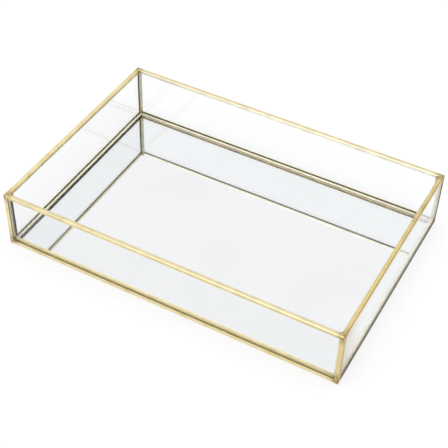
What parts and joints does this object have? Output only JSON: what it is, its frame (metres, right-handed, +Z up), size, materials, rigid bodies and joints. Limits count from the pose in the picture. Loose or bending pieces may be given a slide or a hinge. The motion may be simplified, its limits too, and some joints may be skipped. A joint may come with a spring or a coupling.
{
  "type": "vanity tray",
  "caption": "Open rectangular vanity tray with clear glass walls and a mirrored floor in a thin folded brass frame.",
  "frame": {"origin": "centre of the underside, on the surface that the tray stands on", "axes": "+X along the long side, towards the right seen from the front; +Y towards the back; +Z up"},
  "size_m": [0.3, 0.203, 0.054],
  "materials": {
    "clear_glass": "clear, polished",
    "mirror_glass": "clear, polished",
    "silvering": "silvered",
    "backing_paint": "matt paint",
    "brass": "polished, pale gold",
    "solder": "brass plated solder, uneven",
    "clear_rubber": "soft, clear"
  },
  "bodies": {
    "root": {"back_pane": "clear_glass", "floor_solder_back_left": "solder", "floor_solder_back_right": "solder", "floor_solder_front_left": "solder", "floor_solder_front_right": "solder", "foot_back_left": "clear_rubber", "foot_back_right": "clear_rubber", "foot_front_left": "clear_rubber", "foot_front_right": "clear_rubber", "front_pane": "clear_glass", "inner_base_angle_back": "brass", "inner_base_angle_front": "brass", "inner_base_angle_left": "brass", "inner_base_angle_right": "brass", "inner_post_back_left": "brass", "inner_post_back_right": "brass", "inner_post_front_left": "brass", "inner_post_front_right": "brass", "left_pane": "clear_glass", "mirror_backing_paint": "backing_paint", "mirror_glass": "mirror_glass", "mirror_silvering": "silvering", "outer_base_angle_back": "brass", "outer_base_angle_front": "brass", "outer_base_angle_left": "brass", "outer_base_angle_right": "brass", "outer_post_back_left": "brass", "outer_post_back_right": "brass", "outer_post_front_left": "brass", "outer_post_front_right": "brass", "right_pane": "clear_glass", "rim_solder_back_left": "solder", "rim_solder_back_right": "solder", "rim_solder_front_left": "solder", "rim_solder_front_right": "solder", "top_rim_back": "brass", "top_rim_front": "brass", "top_rim_left": "brass", "top_rim_right": "brass"}
  },
  "joints": []
}
